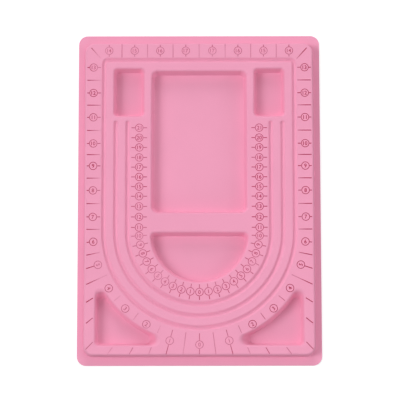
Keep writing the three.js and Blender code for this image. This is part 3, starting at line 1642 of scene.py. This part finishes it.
class InkTrees:
    """Geometry node trees that lay a scale's rings and lines as thin ink."""

    def __init__(self) -> None:
        """Builds both trees once."""
        self.rings = self.make_rings()
        self.lines = self.make_lines()

    @staticmethod
    def start(name: str, sizes: Sequence[str]) -> GroupParts:
        """Starts a tree whose inputs are a geometry, some sizes and an ink.

        Args:
            name: The tree's name.
            sizes: Names of the sizes.

        Returns:
            Its graph, its input node and its output node.
        """
        inputs = {"Geometry": GEOMETRY, **dict.fromkeys(sizes, FLOAT), "Ink": MATERIAL}
        return node_group(name, "GeometryNodeTree", inputs, {"Geometry": GEOMETRY})

    @staticmethod
    def sweep(graph: Graph, given: bpy.types.Node, path: bpy.types.NodeSocket) -> bpy.types.NodeSocket:
        """Sweeps the stroke's section along level curves.

        Args:
            graph: The tree's graph.
            given: The tree's input node.
            path: The curves.

        Returns:
            The swept mesh.
        """
        level = graph.add("GeometryNodeSetCurveNormal", {"Curve": path}, mode="Z_UP").outputs["Curve"]
        size = {"Width": given.outputs["Stroke"], "Height": given.outputs["Ink Depth"]}
        section = graph.add("GeometryNodeCurvePrimitiveQuadrilateral", size).outputs["Curve"]
        values = {"Curve": level, "Profile Curve": section, "Fill Caps": True}
        return graph.add("GeometryNodeCurveToMesh", values).outputs["Mesh"]

    @staticmethod
    def end(graph: Graph, given: bpy.types.Node, out: bpy.types.Node, made: bpy.types.NodeSocket) -> None:
        """Ends a tree by realising its instances and giving them their ink.

        Args:
            graph: The tree's graph.
            given: The tree's input node.
            out: The tree's output node.
            made: The instances.
        """
        real = graph.add("GeometryNodeRealizeInstances", {"Geometry": made}).outputs["Geometry"]
        inked = graph.add("GeometryNodeSetMaterial", {"Geometry": real, "Material": given.outputs["Ink"]})
        graph.fill(out, {"Geometry": inked.outputs["Geometry"]})

    @classmethod
    def make_rings(cls, sides: int = 40) -> bpy.types.NodeTree:
        """Makes the tree that lays a ring on every point.

        Args:
            sides: Chords of a ring.

        Returns:
            The tree.
        """
        graph, given, out = cls.start("ink_rings", ("Ring Radius", "Stroke", "Ink Depth"))
        size = {"Resolution": sides, "Radius": given.outputs["Ring Radius"]}
        circle = graph.add("GeometryNodeCurvePrimitiveCircle", size).outputs["Curve"]
        values = {"Points": given.outputs["Geometry"], "Instance": cls.sweep(graph, given, circle)}
        laid = graph.add("GeometryNodeInstanceOnPoints", values)
        cls.end(graph, given, out, laid.outputs["Instances"])
        return graph.tree

    @classmethod
    def make_lines(cls) -> bpy.types.NodeTree:
        """Makes the tree that lays a stroke along every edge.

        Returns:
            The tree.
        """
        graph, given, out = cls.start("ink_lines", ("Stroke", "Ink Depth"))
        path = graph.add("GeometryNodeMeshToCurve", {"Mesh": given.outputs["Geometry"]})
        cls.end(graph, given, out, cls.sweep(graph, given, path.outputs["Curve"]))
        return graph.tree

    @staticmethod
    def run(tree: bpy.types.NodeTree, source: bpy.types.Mesh, values: dict[str, object]) -> bpy.types.Mesh:
        """Runs a tree on a mesh.

        Args:
            tree: The tree.
            source: The points or edges that it works on.
            values: Values of the tree's inputs, by name.

        Returns:
            The plain mesh that it makes.
        """
        holder = placed(tree.name, source)
        modifier = holder.modifiers.new(tree.name, "NODES")
        modifier.node_group = tree
        for socket in tree.interface.items_tree:
            if socket.in_out == "INPUT" and socket.name in values:
                modifier[socket.identifier] = values[socket.name]
        made = baked(holder)
        bpy.data.meshes.remove(source)
        return made


@dataclass(frozen=True)
class PrintedScale:
    """One scale as ink on the table: its ticks, rings, numbers and lines.

    Attributes:
        plan: The board's sizes and outlines.
        name: First word of its pieces' names.
        marks: The scale's marks.
        ring_radius: Radius of the numbers' rings.
        wear: How much ink it has kept.
        stroke: Width of its lines.
        ring_stroke: Width of its rings' lines.
        number_size: Size of its numbers' type.
        number_weight: How much the type's strokes are widened on each side.
        number_chords: How finely the type's curves are drawn.
        weld: Distance under which points of the type are one.
        proud: How far the ink stands above the flock.
        sunk: How far it reaches into the flock.
        step: Distance between a line's points, where it can be cut or its ink can change.
        over_lip: How far a line may reach over the lip at the far and near ends.
    """

    plan: BoardPlan
    name: str
    marks: tuple[Mark, ...]
    ring_radius: float
    wear: PrintWear
    stroke: float = 0.8 * MM
    ring_stroke: float = 0.6 * MM
    number_size: float = 5.3 * MM
    number_weight: float = 0.08 * MM
    number_chords: int = 3
    weld: float = 0.001 * MM
    proud: float = 0.03 * MM
    sunk: float = 0.05 * MM
    step: float = 0.5 * MM
    over_lip: float = 1.3 * MM

    @cached_property
    def height(self) -> float:
        """Height of the middle of the ink."""
        return self.plan.height + (self.proud - self.sunk) / 2

    @cached_property
    def depth(self) -> float:
        """Thickness of the ink."""
        return self.proud + self.sunk

    @cached_property
    def numbered(self) -> list[Mark]:
        """The marks that have a ring and a number."""
        return [mark for mark in self.marks if mark.number is not None]

    @cached_property
    def plain(self) -> list[Mark]:
        """The lines between the numbers."""
        return [mark for mark in self.marks if mark.number is None]

    def stretches(self, mark: Mark) -> list[list[Vector]]:
        """Cuts a mark's line where its ring, a tray or the table's edge is.

        Args:
            mark: The mark.

        Returns:
            The points of each stretch that is left.
        """
        along = Vector((math.cos(mark.run), math.sin(mark.run)))
        middle = Vector((mark.x, mark.y))
        clear = self.ring_radius + self.ring_stroke / 2 if mark.number is not None else 0.0
        found: list[list[Vector]] = []
        stretch: list[Vector] = []
        count = round((mark.inner + mark.outer) / self.step)
        for number in range(count + 1):
            reach = number * self.step - mark.inner
            place = middle + along * reach
            if abs(reach) >= clear and self.plan.inkable(place.x, place.y, self.over_lip):
                height = self.plan.table_height(place.x, place.y) - self.plan.height + self.height
                stretch.append(Vector((*place, height)))
            elif stretch:
                found.append(stretch)
                stretch = []
        found.append(stretch)
        return [stretch for stretch in found if (len(stretch) - 1) * self.step > self.stroke]

    def line_edges(self, marks: Iterable[Mark]) -> bpy.types.Mesh:
        """Makes the edges that the strokes of some marks' lines follow.

        Args:
            marks: The marks.

        Returns:
            The edges.
        """
        points: list[Vector] = []
        edges: list[tuple[int, int]] = []
        for mark in marks:
            for stretch in self.stretches(mark):
                first = len(points)
                points += stretch
                edges += [(number, number + 1) for number in range(first, len(points) - 1)]
        mesh = bpy.data.meshes.new("line_edges")
        mesh.from_pydata(points, edges, [])
        return mesh

    def ring_points(self) -> bpy.types.Mesh:
        """Makes the points that the rings lie on.

        Returns:
            The points.
        """
        places = [(mark.x, mark.y, self.height) for mark in self.numbered]
        mesh = bpy.data.meshes.new("ring_points")
        mesh.from_pydata(places, [], [])
        return mesh

    def number_mesh(self, number: int) -> bpy.types.Mesh:
        """Sets a number in plain type, flat at the origin.

        Args:
            number: The number.

        Returns:
            Its mesh.
        """
        curve = bpy.data.curves.new(f"number_{number}", "FONT")
        curve.body = str(number)
        curve.size = self.number_size
        curve.align_x = "CENTER"
        curve.align_y = "CENTER"
        curve.offset = self.number_weight
        curve.extrude = self.depth / 2
        curve.resolution_u = self.number_chords
        mesh = baked(placed(curve.name, curve))
        bpy.data.curves.remove(curve)
        xs = [vertex.co.x for vertex in mesh.vertices]
        ys = [vertex.co.y for vertex in mesh.vertices]
        middle = Vector(((min(xs) + max(xs)) / 2, (min(ys) + max(ys)) / 2, 0.0))
        mesh.transform(Matrix.Translation(-middle))
        return mesh

    def numbers(self) -> bpy.types.Mesh:
        """Sets all the scale's numbers in place.

        Returns:
            One mesh of them all.
        """
        wanted = dict.fromkeys(mark.number for mark in self.numbered)
        shapes = {number: self.number_mesh(number) for number in wanted}
        joined = bmesh.new()
        for mark in self.numbered:
            copy = shapes[mark.number].copy()
            turn = Matrix.Rotation(mark.turn, 4, "Z")
            copy.transform(Matrix.Translation((mark.x, mark.y, self.height)) @ turn)
            joined.from_mesh(copy)
            bpy.data.meshes.remove(copy)
        bmesh.ops.remove_doubles(joined, verts=joined.verts, dist=self.weld)
        mesh = bpy.data.meshes.new(f"{self.name}_numbers")
        joined.to_mesh(mesh)
        joined.free()
        for shape in shapes.values():
            bpy.data.meshes.remove(shape)
        return mesh

    def build(self, trees: InkTrees, ink: bpy.types.Material) -> list[bpy.types.Object]:
        """Makes the scale's pieces.

        Args:
            trees: The trees that lay rings and lines.
            ink: The ink.

        Returns:
            The pieces.
        """
        lines = {"Stroke": self.stroke, "Ink Depth": self.depth, "Ink": ink}
        rings = {**lines, "Stroke": self.ring_stroke, "Ring Radius": self.ring_radius}
        numbers = self.numbers()
        numbers.materials.append(ink)
        laid = [
            ("ticks", trees.run(trees.lines, self.line_edges(self.numbered), lines), self.wear.ticks),
            ("rings", trees.run(trees.rings, self.ring_points(), rings), self.wear.rings),
            ("numbers", numbers, self.wear.rings),
        ]
        if self.wear.lines:
            between = trees.run(trees.lines, self.line_edges(self.plain), lines)
            laid.append(("lines", between, self.wear.lines))
        pieces = []
        for part, mesh, coat in laid:
            self.wear.stain(mesh, coat)
            mesh.name = f"{self.name}_{part}"
            pieces.append(placed(mesh.name, mesh))
        return pieces

    def dress(self, pieces: Iterable[bpy.types.Object]) -> None:
        """Puts the pieces in the frame.

        Args:
            pieces: The scale's objects.
        """
        for piece in pieces:
            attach(piece, BODY)
            LOG.info("%s: %d faces", piece.name, len(piece.data.polygons))


@dataclass(frozen=True)
class SoftLight:
    """A broad, distant lamp.

    Attributes:
        name: Its name.
        share: Share of the light on a level surface that it gives.
        azimuth: Where it comes from, from +X towards +Y, in degrees.
        height: Its height above the horizon, in degrees.
        spread: How wide it is, in degrees.
    """

    name: str
    share: float
    azimuth: float
    height: float
    spread: float

    def build(self) -> None:
        """Hangs the lamp."""
        azimuth, height = math.radians(self.azimuth), math.radians(self.height)
        level = math.cos(height)
        towards = Vector((math.cos(azimuth) * level, math.sin(azimuth) * level, math.sin(height)))
        data = bpy.data.lights.new(self.name, "SUN")
        data.energy = math.pi * self.share / math.sin(height)
        data.angle = math.radians(self.spread)
        lamp = placed(self.name, data)
        lamp.location = towards
        lamp.rotation_mode = "QUATERNION"
        lamp.rotation_quaternion = towards.to_track_quat("Z", "Y")


@dataclass(frozen=True)
class Studio:
    """The plain floor, the soft light and the camera.

    Attributes:
        floor_size: Side of the square floor.
        floor_drop: How far it lies under the rim, so that their faces don't coincide.
        floor_grey: Its colour under its glow.
        floor_roughness: How matt it is.
        floor_specular: How much it shines.
        floor_glow: How much it glows, so that it stays plain white.
        sky: Strength of the even light from all round.
        lights: The lamps.
        eye: The camera's place.
        tilt: How far the camera is tilted from straight down, in degrees.
        roll: How far it is turned about its own line of sight, in degrees.
        focal_pixels: Its focal length, in pixels of the picture.
        picture: The picture's side, in pixels.
        sensor: Width of its sensor, in millimetres.
        nearest: Nearest distance that it sees.
        farthest: Farthest distance that it sees.
    """

    floor_size: float = 6.0
    floor_drop: float = 0.05 * MM
    floor_grey: Colour = (0.5, 0.5, 0.5, 1.0)
    floor_roughness: float = 0.9
    floor_specular: float = 0.1
    floor_glow: float = 0.62
    sky: float = 0.205
    lights: tuple[SoftLight, ...] = (
        SoftLight("overhead", share=0.15, azimuth=0.0, height=80.0, spread=36.0),
        SoftLight("left", share=0.357, azimuth=180.0, height=42.0, spread=30.0),
        SoftLight("far", share=0.15, azimuth=90.0, height=22.0, spread=30.0),
        SoftLight("right", share=0.092, azimuth=0.0, height=22.0, spread=30.0),
        SoftLight("near", share=0.06, azimuth=270.0, height=22.0, spread=30.0),
    )
    eye: tuple[float, float, float] = (0.0007, -0.3418, 2.1505)
    tilt: float = 9.012
    roll: float = -0.08
    focal_pixels: float = 2200.0
    picture: float = 400.0
    sensor: float = 36.0
    nearest: float = 0.05
    farthest: float = 50.0

    def floor_material(self) -> bpy.types.Material:
        """Makes the floor's finish: plain white to the camera, and a softer grey to the board.

        Returns:
            The material.
        """
        surface = {
            "Base Color": self.floor_grey,
            "Roughness": self.floor_roughness,
            "Specular IOR Level": self.floor_specular,
            "Emission Color": WHITE,
            "Emission Strength": self.floor_glow,
        }
        material, graph, shader = new_material("white_floor")
        graph.fill(shader, surface)
        seen = graph.add("ShaderNodeLightPath").outputs["Is Camera Ray"]
        bounce = graph.add("ShaderNodeBsdfDiffuse", {"Color": self.floor_grey}).outputs["BSDF"]
        either = graph.add("ShaderNodeMixShader")
        for slot, source in enumerate((seen, bounce, shader.outputs["BSDF"])):
            graph.wire(source, either.inputs[slot])
        end = material.node_tree.nodes["Material Output"]
        graph.fill(end, {"Surface": either.outputs["Shader"]})
        return material

    def add_floor(self) -> None:
        """Lays the floor under the board."""
        half = self.floor_size / 2
        corners = [(-half, -half), (half, -half), (half, half), (-half, half)]
        mesh = bpy.data.meshes.new("floor")
        mesh.from_pydata([(x, y, -self.floor_drop) for x, y in corners], [], [(0, 1, 2, 3)])
        mesh.materials.append(self.floor_material())
        floor = placed("floor", mesh)
        floor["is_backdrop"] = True

    def add_light(self) -> None:
        """Adds the even light from all round and the lamps."""
        world = bpy.data.worlds.new("studio")
        world.use_nodes = True
        background = world.node_tree.nodes["Background"]
        background.inputs["Strength"].default_value = self.sky
        background.inputs["Color"].default_value = WHITE
        bpy.context.scene.world = world
        for light in self.lights:
            light.build()

    def add_camera(self) -> None:
        """Puts the camera where the picture was taken from."""
        data = bpy.data.cameras.new("camera")
        data.sensor_width = self.sensor
        data.lens = self.focal_pixels / self.picture * self.sensor
        data.clip_start = self.nearest
        data.clip_end = self.farthest
        camera = placed("camera", data)
        tilt = Matrix.Rotation(math.radians(self.tilt), 4, "X")
        roll = Matrix.Rotation(math.radians(self.roll), 4, "Z")
        camera.matrix_world = Matrix.Translation(self.eye) @ tilt @ roll
        bpy.context.scene.camera = camera

    def build(self) -> None:
        """Sets the studio up."""
        bpy.context.scene.view_settings.view_transform = "Standard"
        self.add_floor()
        self.add_light()
        self.add_camera()


def main() -> None:
    """Builds the board's looks around its frame."""
    logging.basicConfig(level=logging.INFO, format="%(name)s: %(message)s")
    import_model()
    cad_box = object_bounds()
    plan = BoardPlan.from_frame(*cad_box)
    layers = plan.layers
    effects = Effects()
    flock = FlockFinish()

    face = FormedLayer(
        plan,
        "flocked_face",
        PILE_NODE,
        "flock",
        upper=0.0,
        lower=layers.sheet_top,
        upper_round=0.3 * MM,
        lower_round=0.05 * MM,
    )
    face.dress(face.build(), flock.material(effects))
    sheet = FormedLayer(
        plan,
        "formed_sheet",
        SHEET_NODE,
        "sheet",
        upper=layers.sheet_top,
        lower=layers.wall,
        upper_round=0.05 * MM,
        lower_round=0.15 * MM,
    )
    sheet.dress(sheet.build(), SheetFinish().material(effects))

    trees = InkTrees()
    outer = OuterScale(plan)
    outer_wear = PrintWear(
        plan,
        ticks=InkCoat(base=0.98, edge_gain=0.34),
        rings=InkCoat(base=0.97, edge_gain=0.18),
        right_gain=0.18,
        near_line=outer.near_row,
        near_loss=0.38,
        far_loss=0.34,
        lines=InkCoat(base=0.7, edge_gain=0.62),
    )
    outer_ink = InkFinish("outer_scale_ink", paint(172, 20, 66)).material(effects, flock)
    inches = PrintedScale(plan, "outer_scale", tuple(outer.marks()), outer.ring_radius, outer_wear)
    inches.dress(inches.build(trees, outer_ink))
    inner = InnerScale(plan)
    inner_wear = PrintWear(
        plan,
        ticks=InkCoat(base=0.8),
        rings=InkCoat(base=0.88),
        right_gain=0.1,
        near_line=plan.bend_y,
        near_loss=0.14,
    )
    inner_ink = InkFinish("inner_scale_ink", paint(182, 34, 80)).material(effects, flock)
    centimetres = PrintedScale(plan, "inner_scale", tuple(inner.marks()), inner.ring_radius, inner_wear)
    centimetres.dress(centimetres.build(trees, inner_ink))

    Studio().build()


if __name__ == "__main__":
    main()
